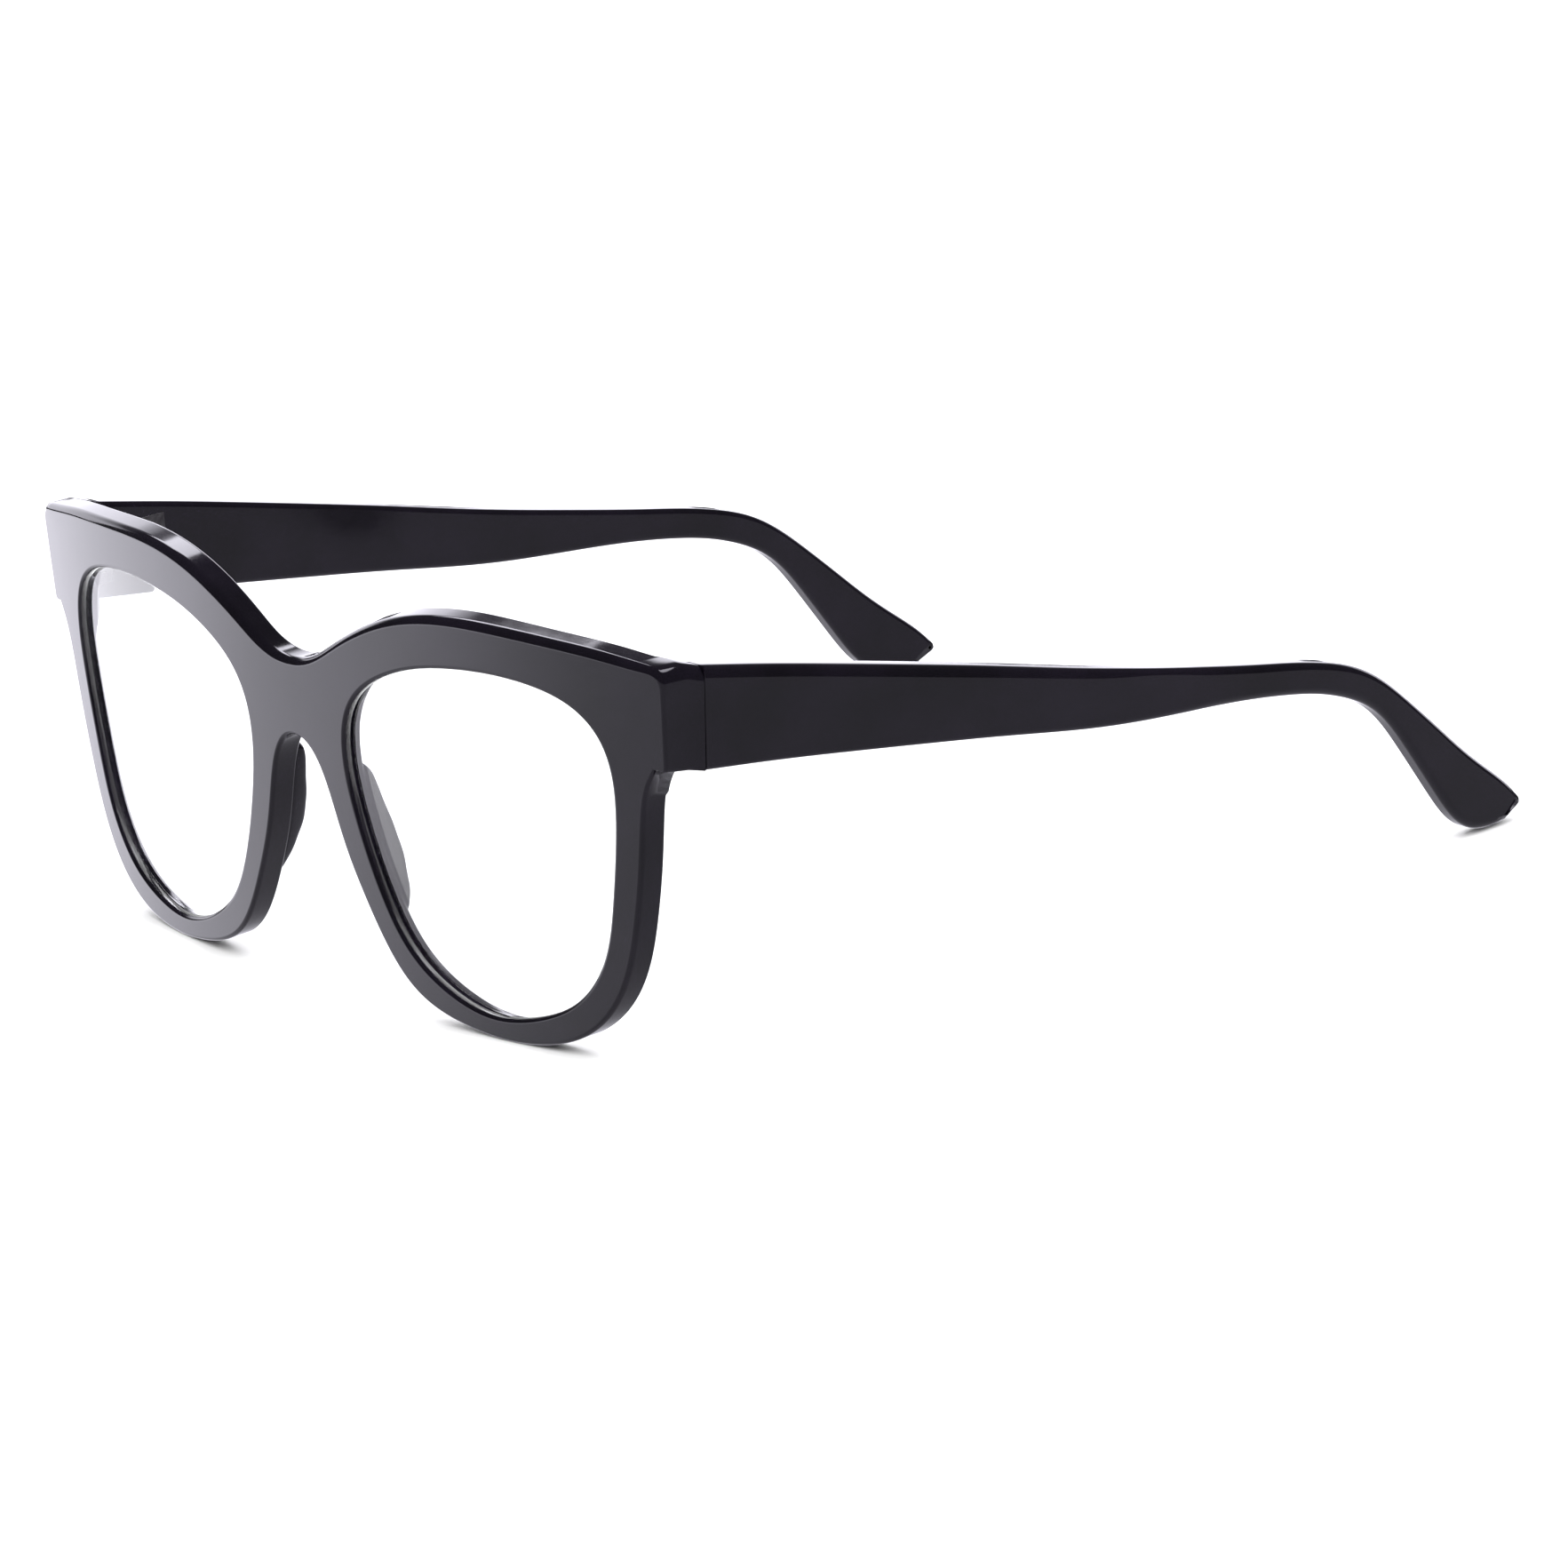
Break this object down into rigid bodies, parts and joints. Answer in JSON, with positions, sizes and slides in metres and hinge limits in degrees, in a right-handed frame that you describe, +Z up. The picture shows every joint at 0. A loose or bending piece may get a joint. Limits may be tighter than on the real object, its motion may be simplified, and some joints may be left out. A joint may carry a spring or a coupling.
{
  "type": "eyeglasses",
  "caption": "Full-rim eyeglasses in polished black acetate with clear lenses, a bowed front, built-up nose pads and folding temples on barrel hinges.",
  "frame": {"origin": "middle of the footprint on the surface that the open glasses stand on, under the temples", "axes": "+X towards the wearer's left, +Y back from the front to the ears, +Z up; the front leans 2.4 degrees forward, as it stands on its rims and temple tips"},
  "size_m": [0.142, 0.1642, 0.0589],
  "materials": {
    "black_acetate": "hand-polished, deep gloss with faint polishing marks",
    "clear_lens": "clear with an anti-reflection coating",
    "hinge_metal": "nickel silver, tumbled",
    "pin_metal": "filed flush",
    "screw_steel": "turned stainless steel",
    "nylon": "translucent nylon",
    "wire_metal": "drawn nickel silver wire"
  },
  "bodies": {
    "front": {"front": "black_acetate", "lens_left": "clear_lens", "lens_right": "clear_lens", "nose_pad_left": "black_acetate", "nose_pad_right": "black_acetate", "hinge_front_left": "hinge_metal", "hinge_front_right": "hinge_metal", "front_pins_left": "pin_metal", "front_pins_right": "pin_metal", "hinge_screw_left": "screw_steel", "hinge_screw_right": "screw_steel", "hinge_washers_left": "nylon", "hinge_washers_right": "nylon"},
    "temple_left": {"temple_left": "black_acetate", "hinge_temple_left": "hinge_metal", "temple_pins_left": "pin_metal", "core_wire_left": "wire_metal"},
    "temple_right": {"temple_right": "black_acetate", "hinge_temple_right": "hinge_metal", "temple_pins_right": "pin_metal", "core_wire_right": "wire_metal"}
  },
  "joints": [
    {"name": "temple_left_fold", "type": "hinge", "parent": "front", "child": "temple_left", "pos_m": [0.0646, -0.06692, 0.04822], "axis": [0, -0.0419, 0.9991], "range_deg": [0, 91]},
    {"name": "temple_right_fold", "type": "hinge", "parent": "front", "child": "temple_right", "pos_m": [-0.0646, -0.06692, 0.04822], "axis": [0, 0.0419, -0.9991], "range_deg": [0, 85]}
  ]
}
